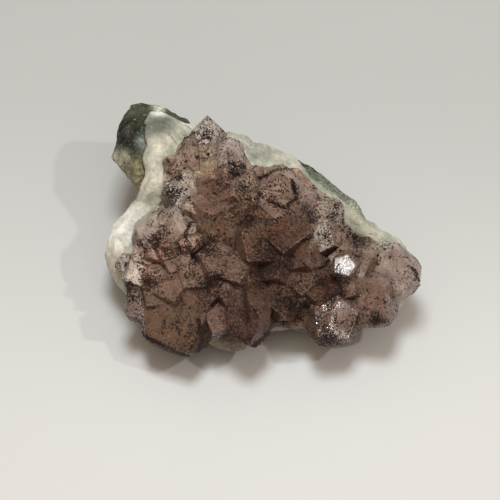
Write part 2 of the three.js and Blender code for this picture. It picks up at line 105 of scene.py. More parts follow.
# Clouds of dark needles and grains: (across, up, reach, strength). A strength below 0 clears a face.
DARK_CLOUDS = {
    "under the point": (-14.5, 27, 1.6, 2.2),
    "above the middle": (-7.5, 16.8, 2.0, 4.5),
    "upper speck": (-4.7, 20.8, 0.6, 4.0),
    "left blot": (-22.6, 15.0, 1.1, 4.5),
    "left needles": (-24.5, 10.5, 2.4, 2.0),
    "lavender edge": (-28.5, -2.0, 2.2, 3.0),
    "left lump": (-36.5, -15.0, 1.6, 4.5),
    "lower left gap": (-30.3, -13.0, 1.8, 4.0),
    "lower left edge": (-34.0, -26.0, 1.6, 4.5),
    "middle left foot": (-15.0, -4.0, 2.6, 2.6),
    "tan middle": (-3.5, 3.0, 1.8, 3.0),
    "middle": (4.0, -8.0, 3.4, 3.0),
    "below the middle": (0.5, -13.5, 3.0, 2.0),
    "bright facet foot": (16.4, -13.6, 1.2, 4.5),
    "between right": (21.0, -16.0, 1.1, 4.5),
    "bright facet corner": (20.0, -11.2, 1.1, 2.6),
    "curved right": (26.0, -2.5, 2.2, 3.5),
    "far right needles": (40.6, -10.5, 1.0, 2.5),
    "lower right star": (30.5, -23.2, 1.5, 4.0),
    "round lower": (17.0, -29.0, 2.6, 3.6),
    "lower centre": (7.5, -19.0, 3.0, 2.6),
    "bottom left of point": (-9.0, -28.0, 1.8, 3.5),
    "above the bottom": (-14.5, -14.0, 2.4, 3.6),
    "upper right foot": (13.5, 3.8, 1.6, 2.6),
    "tan upper right": (19.0, 4.0, 1.4, 2.6),
    "left needles low": (-25.5, -5.6, 1.6, 3.0),
    "pink needles": (-22.0, -4.6, 1.5, 2.4),
    "tan middle specks": (-7.0, 5.5, 3.4, 1.3),
    "tan centre specks": (0.0, -4.0, 3.0, 1.5),
    "upper centre specks": (-4.0, 13.0, 3.0, 0.6),
    "clear left lumps": (-35.5, -10.5, 2.4, -1.6),
    "lower middle right specks": (18.5, -16.5, 2.4, 1.2),
    "clear bright facet": (23.0, -8.8, 1.8, -4.0),
    "clear far right face": (36.0, -10.0, 4.0, -4.0),
    "clear lower left face": (-25.0, -22.0, 4.6, -2.2),
    "clear lavender slab": (-33.0, 3.0, 3.0, -5.0),
    "clear right of the bright facet": (29.0, -11.5, 2.6, -2.4),
    "clear middle left face": (-16.0, 7.0, 2.8, -1.6),
    "clear small tip": (-13.0, -25.0, 2.2, -2.0),
}

# Places that glitter: (across, up, reach, strength). Their cells are tilted so that some catch the small
# lamp, and the pale flecks on them are painted glints.
GLINTS = {
    "below the top point": (-15.1, 21.4, 1.3, 1.6),
    "below the top point, low": (-15.0, 19.3, 1.1, 1.6),
    "round lower": (15.6, -23.6, 2.2, 1.0),
    "round lower, top": (13.0, -20.0, 0.8, 1.0),
    "left lumps": (-38.2, -8.0, 1.2, 1.0),
    "left lump": (-36.4, -19.2, 0.5, 1.0),
    "small tip": (-14.0, -24.3, 0.6, 1.0),
}

# Worn places with a duller polish: (across, up, reach, strength)
DULL_PLACES = {
    "left lumps": (-36.0, -11.0, 4.5, 1.0),
    "round lower": (22.8, -23.5, 3.0, 1.3),
    "round lower, foot": (16.5, -29.5, 2.4, 1.0),
    "left of the bright facet": (18.6, -6.4, 1.6, 1.2),
    "lavender lower left": (-35.0, -20.0, 3.2, 0.9),
    "far right": (36.0, -11.0, 4.0, 0.4),
}

# Dark lines along the edges of crystals, partly dark inclusions and partly painted shade: (points across and
# up, reach, strength)
DARK_EDGE_LINES_AND_SHADE = {
    "top left edge": ([(-22.5, 25.5), (-18.5, 27.0), (-14.0, 25.5)], 0.35, 4.0),
    "upper right edge": ([(8.2, 14.0), (9.2, 9.0), (6.0, 6.6), (1.6, 8.4)], 0.4, 7.0),
    "upper right top": ([(-1.0, 14.5), (4.0, 16.8), (10.0, 18.0)], 0.3, 3.5),
    "middle left edge": ([(-19.5, 2.5), (-20.8, -1.5), (-18.0, -7.5)], 0.5, 4.0),
    "lower left right edge": ([(-17.0, -23.0), (-16.0, -29.0), (-17.6, -34.0)], 0.4, 7.0),
    "lower left foot": ([(-33.0, -27.0), (-26.0, -30.5), (-18.5, -34.2)], 0.45, 6.0),
    "bottom point edge": ([(-9.8, -28.4), (-3.5, -31.6), (1.6, -27.0)], 0.5, 7.0),
    "bottom point needles": ([(-4.8, -14.5), (-3.6, -23.5)], 0.6, 4.0),
    "far right crack": ([(37.0, -8.0), (41.0, -10.0), (42.0, -13.0)], 0.3, 3.0),
}


def to_face(points):
    """Object places to face millimetres: the offset from FACE_MIDDLE as shares of ACROSS, UP and OUT."""
    return (points - FACE_MIDDLE) @ np.stack([ACROSS, UP, OUT], axis=1) / MM


def welded(name):
    """A solid's mesh as arrays, its loose triangles joined where their corners are the same point."""
    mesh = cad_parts[name].data
    places = np.empty(len(mesh.vertices) * 3, np.float32)
    mesh.vertices.foreach_get("co", places)
    mesh.calc_loop_triangles()
    corners = np.empty(len(mesh.loop_triangles) * 3, np.int32)
    mesh.loop_triangles.foreach_get("vertices", corners)
    points, back = np.unique(places.reshape(-1, 3), axis=0, return_inverse=True)
    faces = back.reshape(-1)[corners].reshape(-1, 3)
    whole = (faces[:, 0] != faces[:, 1]) & (faces[:, 1] != faces[:, 2]) & (faces[:, 2] != faces[:, 0])
    return points.astype(float), faces[whole]


def face_normals(points, faces):
    """Cross product of two sides of each triangle: its direction is outward, its length twice the area."""
    first, second, third = points[faces[:, 0]], points[faces[:, 1]], points[faces[:, 2]]
    return np.cross(second - first, third - first)


def gather(index, values, count):
    """Sum of the values that carry each index from 0 to count."""
    columns = [np.bincount(index, weights=values[:, k], minlength=count) for k in range(values.shape[1])]
    return np.stack(columns, axis=1)


def unit(vectors):
    """Each row divided by its own length."""
    return vectors / np.maximum(np.linalg.norm(vectors, axis=1, keepdims=True), 1e-12)


def point_normals(points, faces):
    """Outward direction at each point: the sum of the crosswise vectors of its triangles, made length one."""
    normals = face_normals(points, faces)
    return unit(gather(faces.reshape(-1), np.repeat(normals, 3, axis=0), len(points)))


def edges_of(faces):
    """Every edge once, as two point numbers, and for each triangle the numbers of its edges 01, 12 and 20."""
    ends = np.sort(np.stack([faces, np.roll(faces, -1, axis=1)], axis=2), axis=2).reshape(-1, 2)
    key = ends[:, 0].astype(np.int64) * (faces.max() + 1) + ends[:, 1]
    _, first, back = np.unique(key, return_index=True, return_inverse=True)
    return ends[first], back.reshape(-1, 3)


def divide(points, faces, facets, limit):
    """Halves every edge longer than limit(points, edges) in all triangles that share it, until none is left.

    A triangle with one halved edge becomes two, with two becomes three, with three becomes four.
    """
    while True:
        edges, of_face = edges_of(faces)
        ends = points[edges]
        chosen = np.linalg.norm(ends[:, 0] - ends[:, 1], axis=1) > limit(points, edges)
        if not chosen.any():
            return points, faces, facets
        middle = np.full(len(edges), -1)
        middle[chosen] = len(points) + np.arange(chosen.sum())
        points = np.vstack([points, ends[chosen].mean(axis=1)])
        cut = middle[of_face]
        count = (cut >= 0).sum(axis=1)
        lone = np.where(count == 1, np.argmax(cut >= 0, axis=1), (np.argmin(cut >= 0, axis=1) + 1) % 3)
        turn = (lone[:, None] + np.arange(3)) % 3
        a, b, c = np.take_along_axis(faces, turn, axis=1).T
        p, q, r = np.take_along_axis(cut, turn, axis=1).T
        parts = [(count == 0, (a, b, c))]
        parts += [(count == 1, t) for t in ((a, p, c), (p, b, c))]
        parts += [(count == 2, t) for t in ((p, b, q), (a, p, q), (a, q, c))]
        parts += [(count == 3, t) for t in ((a, p, r), (p, b, q), (r, q, c), (p, q, r))]
        faces = np.vstack([np.stack(t, axis=1)[rows] for rows, t in parts])
        facets = np.concatenate([facets[rows] for rows, _ in parts])


def corner_value(corner, seed):
    """A fixed number from 0 to 1 for each whole-number corner, from its three numbers and the seed.

    They are multiplied by large odd numbers and added, the high bits are folded onto the low ones
    twice, and the lowest 24 bits are the number.
    """
    wide = 0xFFFFFFFF
    kept = 0xFFFFFF
    mixed = corner[..., 0] * 374761393 + corner[..., 1] * 668265263
    mixed = mixed + corner[..., 2] * 362437 + seed * 974634777
    mixed = ((mixed & wide) ^ ((mixed & wide) >> 13)) * 1274126177
    mixed = (mixed & wide) ^ ((mixed & wide) >> 16)
    return (mixed & kept) / kept


def cloud(points, size, seed):
    """Smooth noise from -1 to 1: corner values of a turned grid of that size, blended by t * t * (3 - 2t)."""
    spot = points @ SKEW / size
    low = np.floor(spot).astype(np.int64)
    t = spot - low
    t = t * t * (3 - 2 * t)
    total = np.zeros(len(points))
    for corner in np.ndindex(2, 2, 2):
        share = np.prod(np.where(corner, t, 1 - t), axis=1)
        total += share * corner_value(low + corner, seed)
    return total * 2 - 1


def creases(points, size, seed):
    """Rounded lumps with sharp valleys, from 0 in a valley to 1: the absolute value of the smooth noise."""
    return np.abs(cloud(points, size, seed))


def neighbours(faces, count):
    """Every edge both ways, as a point and its neighbour, and how many neighbours each point has."""
    edges, _ = edges_of(faces)
    point, other = np.vstack([edges, edges[:, ::-1]]).T
    return point, other, np.bincount(point, minlength=count)[:, None]


def spread(faces, values, steps):
    """Softens values along the surface: each step is the mean of a point's value and its neighbours' mean."""
    point, other, many = neighbours(faces, len(values))
    for _ in range(steps):
        values = (values + gather(point, values[other], len(values)) / many) / 2
    return values


def hollowness(points, faces, steps):
    """Above 0 in a valley, below 0 on an edge.

    It is how far the mean of a point's neighbours lies outside it, over their mean distance.
    """
    point, other, many = neighbours(faces, len(points))
    mean = gather(point, points[other], len(points)) / many
    length = np.linalg.norm(points[point] - points[other], axis=1)[:, None]
    length = gather(point, length, len(points)) / many
    out = np.sum((mean - points) * point_normals(points, faces), axis=1, keepdims=True) / length
    return spread(faces, out, steps)[:, 0]


def linear(shown):
    """The share of the light that each part of a colour stands for: (shown / 255) to the power 2.2."""
    return (np.asarray(shown, float) / 255) ** 2.2


def crystal_paint(shown):
    """The paint of clear crystal that shows a colour in this light: less the sheen, times CRYSTAL_LIFT.

    Above the bend at 0.5 it nears 0.92 ever more slowly, so that pale colours keep their hue: the
    rest of the way to 0.92 shrinks by exp(-(paint - 0.5) / 0.42).
    """
    sheen, darkest = 0.016, 0.008
    bend, palest = 0.5, 0.92
    paint = np.maximum((linear(shown) - sheen) * CRYSTAL_LIFT, darkest)
    way = palest - bend
    bent = palest - way * np.exp((bend - np.maximum(paint, bend)) / way)
    return np.where(paint > bend, bent, paint)


def stone_paint(shown, lift):
    """The paint of opaque stone that shows a colour in this light: less the sheen, times the lift."""
    sheen, darkest, palest = 0.014, 0.006, 0.9
    return np.clip((linear(shown) - sheen) * lift, darkest, palest)


def nearness(places, across, up, reach):
    """How near each face place is to (across, up): exp(-(distance / reach)^2)."""
    gap = (places[:, 0] - across) ** 2 + (places[:, 1] - up) ** 2
    return np.exp(-gap / reach**2)


def face_tints(places, marks, plain, share):
    """Colour at each face place: the marks' colours weighed by their nearness, the plain one by share."""
    total = np.full((len(places), 1), share)
    colour = np.array(plain)[None, :] * share
    for across, up, reach, tint in marks.values():
        weight = nearness(places, across, up, reach)[:, None]
        colour = colour + weight * np.array(tint)
        total = total + weight
    return colour / total


def clouds(places, spots):
    """A sum of round clouds at each face place, each its strength times its nearness."""
    total = np.zeros(len(places))
    for across, up, reach, strength in spots.values():
        total += strength * nearness(places, across, up, reach)
    return total


def darkness(places):
    """How thick the dark grains lie at each face place: the dark clouds, and bands along the dark edge lines
    that are partly painted shade.
    """
    total = clouds(places, DARK_CLOUDS)
    for line, reach, strength in DARK_EDGE_LINES_AND_SHADE.values():
        nearest = np.full(len(places), 1e9)
        for start, end in zip(line[:-1], line[1:]):
            start, end = np.array(start), np.array(end)
            along = np.clip((places[:, :2] - start) @ (end - start) / np.sum((end - start) ** 2), 0, 1)
            gap = places[:, :2] - start - along[:, None] * (end - start)
            nearest = np.minimum(nearest, np.sum(gap**2, axis=1))
        total += strength * np.exp(-nearest / reach**2)
    return total


def make_piece(name, points, faces, material, smooth=True):
    """A mesh object at the origin from arrays of points and triangles."""
    mesh = bpy.data.meshes.new(name)
    mesh.from_pydata(points.astype(np.float32), [], faces.astype(np.int32))
    mesh.polygons.foreach_set("use_smooth", np.full(len(faces), smooth))
    mesh.materials.append(material)
    mesh.update()
    piece = bpy.data.objects.new(name, mesh)
    bpy.context.scene.collection.objects.link(piece)
    return piece


def keep_values(piece, name, values, domain="POINT"):
    """Stores one number or one colour for each point or triangle, for the material to read by name."""
    if values.ndim == 1:
        piece.data.attributes.new(name, "FLOAT", domain).data.foreach_set("value", values.astype(np.float32))
        return
    four = np.column_stack([values, np.ones(len(values))]).astype(np.float32)
    piece.data.attributes.new(name, "FLOAT_COLOR", domain).data.foreach_set("color", four.reshape(-1))


def place(tree, kind, sockets=None, **settings):
    """Adds a node to a tree; each socket is given a plain value or the output of another node."""
    made = tree.nodes.new(kind)
    for key, value in settings.items():
        setattr(made, key, value)
    for key, value in (sockets or {}).items():
        if isinstance(value, bpy.types.NodeSocket):
            tree.links.new(value, made.inputs[key])
        else:
            made.inputs[key].default_value = value
    return made


def combined(tree, how, first, second=0.0):
    """One number from two, where how is the name of the sum: DIVIDE, MULTIPLY, MAXIMUM and so on."""
    return place(tree, "ShaderNodeMath", {0: first, 1: second}, operation=how).outputs[0]


def scaled(tree, value, factor, extra=0.0):
    """The value times the factor, plus extra."""
    return place(tree, "ShaderNodeMath", {0: value, 1: factor, 2: extra}, operation="MULTIPLY_ADD").outputs[0]


def vector(tree, how, sockets):
    """One vector from the vectors or numbers in the sockets, where how is the name of the sum."""
    return place(tree, "ShaderNodeVectorMath", sockets, operation=how).outputs[0]


def ramp(tree, value, start, end, most=1.0, least=0.0):
    """From least where the value is at start to most where it is at end."""
    sockets = {"Value": value, "From Min": start, "From Max": end, "To Min": least, "To Max": most}
    return place(tree, "ShaderNodeMapRange", sockets).outputs[0]


def mix_colour(tree, share, first, second, how="MIX"):
    """The first colour with a share of the second mixed or multiplied over it."""
    sockets = {0: share, 6: first, 7: second}
    return place(tree, "ShaderNodeMix", sockets, data_type="RGBA", blend_type=how).outputs[2]


def reading(tree, name, output="Fac"):
    """The number or the Color that the piece keeps under this name."""
    return place(tree, "ShaderNodeAttribute", None, attribute_name=name).outputs[output]


def bumps(tree, height, strength, distance, **more):
    """The surface's direction as a height tilts it, with this strength and over this distance."""
    sockets = {"Height": height, "Strength": strength, "Distance": distance, **more}
    return place(tree, "ShaderNodeBump", sockets).outputs[0]


def new_group(name, inputs, output):
    """An empty node group: it takes places in mm and some numbers, and gives one number."""
    group = bpy.data.node_groups.new(name, "ShaderNodeTree")
    group.interface.new_socket("Place mm", in_out="INPUT", socket_type="NodeSocketVector")
    for label, value in inputs.items():
        socket = group.interface.new_socket(label, in_out="INPUT", socket_type="NodeSocketFloat")
        socket.default_value = value
    group.interface.new_socket(output, in_out="OUTPUT", socket_type="NodeSocketFloat")
    return group, group.nodes.new("NodeGroupInput").outputs


def noise_of_size(group, given, **more):
    """Fractal noise around 0.5 at the group's places, with patches about as wide as its Size in mm."""
    scale = combined(group, "DIVIDE", 1.0, given["Size"])
    sockets = {"Vector": given["Place mm"], "Scale": scale, **more}
    return place(group, "ShaderNodeTexNoise", sockets).outputs[0]


def mottling_group():
    """Soft uneven patches: noise of a given size, stretched from Low to High."""
    group, given = new_group("mottling", {"Size": 4.0, "Low": 0.0, "High": 1.0, "Detail": 5.0}, "Value")
    noise = noise_of_size(group, given, Detail=given["Detail"])
    value = ramp(group, noise, 0.3, 0.7, given["High"], given["Low"])
    place(group, "NodeGroupOutput", {"Value": value})
    return group


def pepper_group():
    """Grains with ragged edges: noise of a given size, kept where it is above the level.

    The level is 0.74 less 0.3 times Amount, and Softness is how far above it a grain is full.
    """
    group, given = new_group("pepper", {"Size": 0.8, "Amount": 0.5, "Softness": 0.03}, "Mask")
    noise = noise_of_size(group, given, Detail=6.0, Roughness=0.68, Distortion=0.5)
    level = scaled(group, given["Amount"], -0.3, 0.74)
    over = combined(group, "SUBTRACT", noise, level)
    mask = ramp(group, over, 0.0, given["Softness"])
    place(group, "NodeGroupOutput", {"Mask": mask})
    return group


def thread_group():
    """Thin branching threads: where noise of a given size is nearer to its middle value than Width."""
    group, given = new_group("threads", {"Size": 1.5, "Width": 0.02}, "Mask")
    noise = noise_of_size(group, given, Detail=4.0, Roughness=0.6, Distortion=0.8)
    away = combined(group, "ABSOLUTE", combined(group, "SUBTRACT", noise, 0.5))
    mask = ramp(group, away, given["Width"], 0.0)
    place(group, "NodeGroupOutput", {"Mask": mask})
    return group


def grain_group():
    """Fine relief: noise and rounded cells of a given size, mixed by Sharp, as a height from 0 to 1."""
    group, given = new_group("stone grain", {"Size": 1.0, "Sharp": 0.5}, "Height")
    soft = noise_of_size(group, given, Detail=8.0, Roughness=0.62)
    scale = combined(group, "DIVIDE", 1.0, given["Size"])
    sockets = {"Vector": given["Place mm"], "Scale": scale, "Detail": 2.0}
    cells = place(group, "ShaderNodeTexVoronoi", sockets, feature="F1").outputs["Distance"]
    both = place(group, "ShaderNodeMix", {0: given["Sharp"], 2: soft, 3: cells})
    place(group, "NodeGroupOutput", {"Height": both.outputs[0]})
    return group


def pattern(tree, group, at, **values):
    """What a node group gives at these places with its own values."""
    return place(tree, "ShaderNodeGroup", {"Place mm": at, **values}, node_tree=group).outputs[0]


def new_material(name):
    """An empty material, its tree, and places in millimetres to drive its patterns."""
    material = bpy.data.materials.new(name)
    material.use_nodes = True
    tree = material.node_tree
    tree.nodes.clear()
    coordinates = place(tree, "ShaderNodeTexCoord").outputs["Object"]
    return material, tree, vector(tree, "SCALE", {0: coordinates, 3: 1 / MM})


def surface(tree, sockets, inside=None):
    """Ends a material: a Principled shader with these sockets, and one for its inside if it has any."""
    ends = {"Surface": place(tree, "ShaderNodeBsdfPrincipled", sockets).outputs[0]}
    if inside is not None:
        ends["Volume"] = inside
    place(tree, "ShaderNodeOutputMaterial", ends)


QUARTZ_IOR = 1.544
mottling, pepper, threads, grain = mottling_group(), pepper_group(), thread_group(), grain_group()


def amethyst_material():
    """Smoky lilac crystal: half see-through, clouded, with dark specks, rust and threads, a painted highlight
    along its edges, painted shade in its valleys, and glittering places whose tilted cells catch the lamp and
    carry painted glints.
    """
    material, tree, at = new_material("smoky amethyst")
    moved = vector(tree, "ADD", {0: at, 1: (31.0, 17.0, 53.0)})
    dark, hollow = reading(tree, "dark"), reading(tree, "hollow")
    glitter, dull = reading(tree, "glitter"), reading(tree, "dull")

    patches = pattern(tree, mottling, at, Size=2.8, Low=0.54, High=1.48)
    colour = mix_colour(tree, 1.0, reading(tree, "tint", "Color"), patches, "MULTIPLY")
    haze = pattern(tree, mottling, at, Size=0.9, Low=0.0, High=0.35, Detail=8.0)
    colour = mix_colour(tree, haze, colour, (0.40, 0.29, 0.25, 1))
    # Painted highlight: the crystals are paler along their edges; painted shade: near black in the valleys
    # between them.
    colour = mix_colour(tree, ramp(tree, hollow, -0.02, -0.24, 0.28), colour, (0.55, 0.45, 0.41, 1))
    colour = mix_colour(tree, ramp(tree, hollow, 0.02, 0.25, 0.8), colour, (0.03, 0.016, 0.013, 1))

    grit = pattern(tree, pepper, at, Size=0.42, Amount=0.78, Softness=0.12)
    colour = mix_colour(tree, scaled(tree, grit, 0.7), colour, (0.26, 0.21, 0.20, 1), "MULTIPLY")
    pale = pattern(tree, pepper, moved, Size=0.6, Amount=0.5, Softness=0.08)
    colour = mix_colour(tree, scaled(tree, pale, 0.5), colour, (0.72, 0.56, 0.50, 1))
    rust = pattern(tree, pepper, moved, Size=1.1, Amount=0.44, Softness=0.1)
    colour = mix_colour(tree, scaled(tree, rust, 0.5), colour, (0.40, 0.155, 0.08, 1))
    uneven = pattern(tree, mottling, moved, Size=3.4, Low=0.26, High=0.94, Detail=3.0)
    amount = scaled(tree, dark, 0.045, uneven)
    fine = pattern(tree, pepper, at, Size=0.65, Amount=amount, Softness=0.03)
    colour = mix_colour(tree, fine, colour, (0.022, 0.010, 0.008, 1))
    blotchy = pattern(tree, mottling, moved, Size=5.5, Low=0.12, High=0.46)
    amount = scaled(tree, dark, 0.09, blotchy)
    coarse = pattern(tree, pepper, at, Size=1.8, Amount=amount, Softness=0.03)
    colour = mix_colour(tree, coarse, colour, (0.010, 0.005, 0.005, 1))
    width = combined(tree, "MAXIMUM", scaled(tree, dark, 0.007, 0.008), 0.0005)
    thread = pattern(tree, threads, moved, Size=2.4, Width=width)
    colour = mix_colour(tree, thread, colour, (0.012, 0.006, 0.006, 1))
    # Painted glints: pale flecks where the crystal glitters.
    painted_glint_fleck = pattern(tree, pepper, moved, Size=0.9, Amount=0.6, Softness=0.04)
    painted_glint_fleck = combined(tree, "MULTIPLY", painted_glint_fleck, glitter)
    colour = mix_colour(tree, painted_glint_fleck, colour, (0.86, 0.84, 0.82, 1))

    rough = pattern(tree, mottling, at, Size=1.6, Low=0.06, High=0.2)
    rough = scaled(tree, dull, 0.35, rough)
    rough = scaled(tree, grit, 0.5, rough)
    rough = scaled(tree, fine, 0.6, rough)
    rough = combined(tree, "MAXIMUM", rough, 0.05)

    # Each cell of a cracked place leans its own way
    cells = place(tree, "ShaderNodeTexVoronoi", {"Vector": moved, "Scale": 1.1}, feature="F1")
    tilt = vector(tree, "SUBTRACT", {0: cells.outputs["Color"], 1: (0.5, 0.5, 0.5)})
    tilt = vector(tree, "SCALE", {0: tilt, 3: glitter})
    outward = place(tree, "ShaderNodeNewGeometry").outputs["Normal"]
    outward = vector(tree, "NORMALIZE", {0: vector(tree, "ADD", {0: outward, 1: tilt})})
    height = pattern(tree, grain, at, Size=1.4, Sharp=0.35)
    sockets = {
        "Base Color": colour,
        "Roughness": rough,
        "Normal": bumps(tree, height, 0.35, 0.0003, Normal=outward),
        "Transmission Weight": 0.5,
        "IOR": QUARTZ_IOR,
    }
    inside = place(tree, "ShaderNodeVolumeAbsorption", {"Color": (0.72, 0.60, 0.62, 1), "Density": 110.0})
    surface(tree, sockets, inside.outputs[0])
    return material


def inclusion_material():
    """Near-black brown needles and grains of iron ore, a few of them rusty."""
    material, tree, at = new_material("dark inclusions")
    rust = pattern(tree, mottling, at, Size=5.0, Low=0.0, High=0.7)
    colour = mix_colour(tree, rust, (0.010, 0.007, 0.008, 1), (0.060, 0.022, 0.014, 1))
    height = pattern(tree, grain, at, Size=0.3, Sharp=0.5)
    surface(tree, {"Base Color": colour, "Roughness": 0.5, "Normal": bumps(tree, height, 0.3, 0.0001)})
    return material


def quartz_material():
    """Milky, faintly green quartz: light goes into it, with white clouds, grey veils and a sugary surface."""
    material, tree, at = new_material("milky quartz")
    veils = pattern(tree, mottling, at, Size=3.6, Low=0.74, High=1.2)
    colour = mix_colour(tree, 1.0, reading(tree, "tint", "Color"), veils, "MULTIPLY")
    grains = pattern(tree, mottling, at, Size=1.1, Low=0.82, High=1.12, Detail=8.0)
    colour = mix_colour(tree, 1.0, colour, grains, "MULTIPLY")
    cracks = pattern(tree, threads, at, Size=5.0, Width=0.01)
    colour = mix_colour(tree, scaled(tree, cracks, 0.3), colour, (0.16, 0.155, 0.12, 1))
    # Painted shade: the quartz is darker in its hollows.
    painted_shade_in_hollows = ramp(tree, reading(tree, "hollow"), 0.0, 0.2, 0.4)
    colour = mix_colour(tree, painted_shade_in_hollows, colour, (0.24, 0.24, 0.19, 1))
    pale = pattern(tree, pepper, at, Size=2.2, Amount=0.4, Softness=0.12)
    colour = mix_colour(tree, scaled(tree, pale, 0.6), colour, (0.80, 0.79, 0.70, 1))
    few = pattern(tree, pepper, at, Size=1.6, Amount=0.14)
    colour = mix_colour(tree, few, colour, (0.08, 0.07, 0.05, 1))
    height = pattern(tree, grain, at, Size=0.8, Sharp=0.6)
    sockets = {
        "Base Color": colour,
        "Roughness": pattern(tree, mottling, at, Size=1.5, Low=0.22, High=0.5),
        "Normal": bumps(tree, height, 0.6, 0.0004),
        "IOR": QUARTZ_IOR,
        "Subsurface Weight": 0.4,
        "Subsurface Radius": (1.0, 0.95, 0.8),
        "Subsurface Scale": 0.002,
    }
    surface(tree, sockets)
    return material


def basalt_material():
    """Dark fine-grained basalt: green-black and blue-grey, olive where it is weathered, with pale grains."""
    material, tree, at = new_material("weathered basalt")
    patches = pattern(tree, mottling, at, Size=3.2, Low=0.5, High=1.5, Detail=8.0)
    colour = mix_colour(tree, 1.0, reading(tree, "tint", "Color"), patches, "MULTIPLY")
    specks = pattern(tree, mottling, at, Size=0.7, Low=0.55, High=1.5, Detail=8.0)
    colour = mix_colour(tree, 1.0, colour, specks, "MULTIPLY")
    bloom = pattern(tree, mottling, at, Size=5.0, Low=-0.3, High=0.3)
    colour = mix_colour(tree, bloom, colour, (0.22, 0.23, 0.17, 1))
    black = pattern(tree, pepper, at, Size=1.9, Amount=0.46, Softness=0.08)
    colour = mix_colour(tree, black, colour, (0.015, 0.018, 0.014, 1))
    pale = pattern(tree, pepper, at, Size=0.9, Amount=0.5, Softness=0.06)
    colour = mix_colour(tree, scaled(tree, pale, 0.7), colour, (0.34, 0.35, 0.27, 1))
    # Painted shade: the basalt is near black in its hollows.
    painted_shade_in_hollows = ramp(tree, reading(tree, "hollow"), 0.0, 0.15, 0.6)
    colour = mix_colour(tree, painted_shade_in_hollows, colour, (0.02, 0.022, 0.018, 1))
    swells = bumps(tree, pattern(tree, grain, at, Size=3.0, Sharp=0.5), 0.8, 0.002)
    pits = pattern(tree, grain, at, Size=0.9, Sharp=0.3)
    sockets = {
        "Base Color": colour,
        "Roughness": pattern(tree, mottling, at, Size=1.2, Low=0.4, High=0.8),
        "Normal": bumps(tree, pits, 0.9, 0.001, Normal=swells),
    }
    surface(tree, sockets)
    return material


def floor_material():
    """Matt pale board, hardly cloudy, with painted shade that darkens it from 60 mm in front of the origin to
    80 mm behind it, where the light falls off.
    """
    material, tree, at = new_material("pale board")
    # Painted shade: the board is darker towards the back, as the light falls off.
    depth = place(tree, "ShaderNodeSeparateXYZ", {0: at}).outputs[1]
    sockets = {"Value": depth, "From Min": -60.0, "From Max": 80.0}
    painted_falloff = place(tree, "ShaderNodeMapRange", sockets, interpolation_type="SMOOTHSTEP").outputs[0]
    colour = mix_colour(tree, painted_falloff, (0.625, 0.625, 0.615, 1), (0.49, 0.502, 0.49, 1))
    soft = pattern(tree, mottling, at, Size=180.0, Low=0.97, High=1.02)
    colour = mix_colour(tree, 1.0, colour, soft, "MULTIPLY")
    surface(tree, {"Base Color": colour, "Roughness": 0.7})
    return material


def even(length):
    """A limit for divide that is the same for every edge."""
    return lambda points, edges: np.full(len(edges), length)


# Amethyst crystals
EDGE_FINE, EDGE_COARSE = 0.00045, 0.0014
HALF_SHARP_TURN = math.radians(7)
EDGE_SOFTENING = 0.55
FACING_STEPS, OFFSET_STEP = 40, 0.0001
FACET_SHARE = 0.55


def sharp_points(points, faces):
    """True at each point of an edge whose two triangles turn by more than 14 degrees.

    Two outward directions that turn by an angle add up to a length of twice the cosine of its half.
    """
    normals = unit(face_normals(points, faces))
    edges, of_face = edges_of(faces)
    total = gather(of_face.reshape(-1), np.repeat(normals, 3, axis=0), len(edges))
    turned = np.linalg.norm(total, axis=1) < 2 * math.cos(HALF_SHARP_TURN)
    found = np.zeros(len(points), bool)
    found[edges[turned].reshape(-1)] = True
    return found


def crystal_limit(points, edges):
    """Edges that touch the sharp edge of a crystal are cut short, the rest stay longer."""
    near = near_edge[edges.clip(max=len(near_edge) - 1)] & (edges < len(near_edge))
    return np.where(near.any(axis=1), EDGE_FINE, EDGE_COARSE)


# Triangles in the same plane are one facet, and its middle is the mean of theirs weighed by area
points, faces = welded("amethyst_crystals")
crosswise = face_normals(points, faces)
normals = unit(crosswise)
middles = points[faces].mean(axis=1)
offsets = np.sum(middles * normals, axis=1)
plane = np.column_stack([np.round(normals * FACING_STEPS), np.round(offsets / OFFSET_STEP)])
_, facet = np.unique(plane, axis=0, return_inverse=True)
facet = facet.reshape(-1)
facets = facet.max() + 1
area = np.linalg.norm(crosswise, axis=1)[:, None]
facet_middle = gather(facet, middles * area, facets) / gather(facet, area, facets)

points, faces, facet = divide(points, faces, facet, even(EDGE_COARSE))
near_edge = sharp_points(points, faces)
points, faces, facet = divide(points, faces, facet, crystal_limit)
normals = point_normals(points, faces)

soft = spread(faces, points, 1)
on_edge = sharp_points(points, faces)[:, None]
points = np.where(on_edge, points + (soft - points) * EDGE_SOFTENING, points)

# Each facet has nearly one colour, up to 14 percent darker or lighter than its place has
crystals = make_piece("amethyst_cluster", points, faces, amethyst_material())
middles = points[faces].mean(axis=1)
tint_at = to_face(facet_middle[facet] * FACET_SHARE + middles * (1 - FACET_SHARE))
tints = crystal_paint(face_tints(tint_at, CRYSTAL_TINTS, PLAIN_TINT, share=0.08))
tints *= 0.86 + 0.28 * corner_value(np.column_stack([facet, facet // 7, facet // 3]), 5)[:, None]
keep_values(crystals, "tint", tints, "FACE")
keep_values(crystals, "hollow", hollowness(points, faces, 2))
facing = np.clip(normals @ OUT * 3, 0, 1)
keep_values(crystals, "dark", darkness(to_face(points)) * facing)
glitter = clouds(to_face(points), GLINTS) * facing
keep_values(crystals, "glitter", glitter)
keep_values(crystals, "dull", clouds(to_face(points), DULL_PLACES) - glitter)
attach(crystals, "root")
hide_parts("amethyst_crystals")


# Dark needles and grains in and on the crystals
GRAINS = 20000
NEEDLE_SHARE, SURFACE_SHARE = 0.3, 0.6
LOWEST_GRAIN_MM = -9


